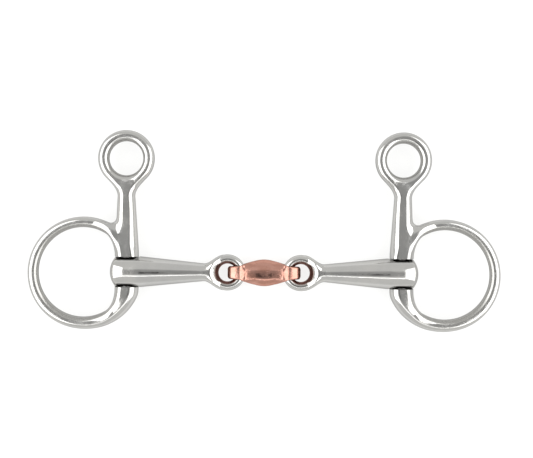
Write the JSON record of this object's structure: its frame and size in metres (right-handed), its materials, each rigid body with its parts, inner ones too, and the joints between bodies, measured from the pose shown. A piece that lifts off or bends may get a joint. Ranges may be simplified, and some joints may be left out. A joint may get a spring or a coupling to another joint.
{
  "type": "snaffle bit",
  "caption": "Hanging-cheek snaffle bit: swivelling cheeks, each with a rein ring and a top eye, on tapered mouth arms joined by a copper lozenge link.",
  "frame": {"origin": "under the middle of the whole bit's box, on the surface it lies on", "axes": "+X from the left cheek to the right, +Y up the stems towards the top eyes, +Z through the bit's thickness"},
  "size_m": [0.2354, 0.099, 0.0154],
  "materials": {
    "polished_steel": "mirror-polished stainless steel with fine handling scratches",
    "pin_steel": "turned stainless steel",
    "copper": "polished pinkish copper alloy, slightly darkened at the tips"
  },
  "bodies": {
    "lozenge": {"copper_lozenge": "copper"},
    "left_arm": {"left_mouth_arm": "polished_steel"},
    "right_arm": {"right_mouth_arm": "polished_steel"},
    "left_cheek": {"left_cheek": "polished_steel", "left_hinge_pin": "pin_steel"},
    "right_cheek": {"right_cheek": "polished_steel", "right_hinge_pin": "pin_steel"}
  },
  "joints": [
    {"name": "left_link_fold", "type": "hinge", "parent": "lozenge", "child": "left_arm", "pos_m": [-0.01165, -0.02092, 0.0077], "axis": [0, 1, 0], "range_deg": [-45, 45]},
    {"name": "right_link_fold", "type": "hinge", "parent": "lozenge", "child": "right_arm", "pos_m": [0.01165, -0.02092, 0.0077], "axis": [0, 1, 0], "range_deg": [-45, 45]},
    {"name": "left_cheek_swivel", "type": "hinge", "parent": "left_arm", "child": "left_cheek", "pos_m": [-0.06845, -0.02092, 0.0077], "axis": [0, 1, 0], "range_deg": [-110, 110]},
    {"name": "right_cheek_swivel", "type": "hinge", "parent": "right_arm", "child": "right_cheek", "pos_m": [0.06845, -0.02092, 0.0077], "axis": [0, 1, 0], "range_deg": [-110, 110]}
  ]
}
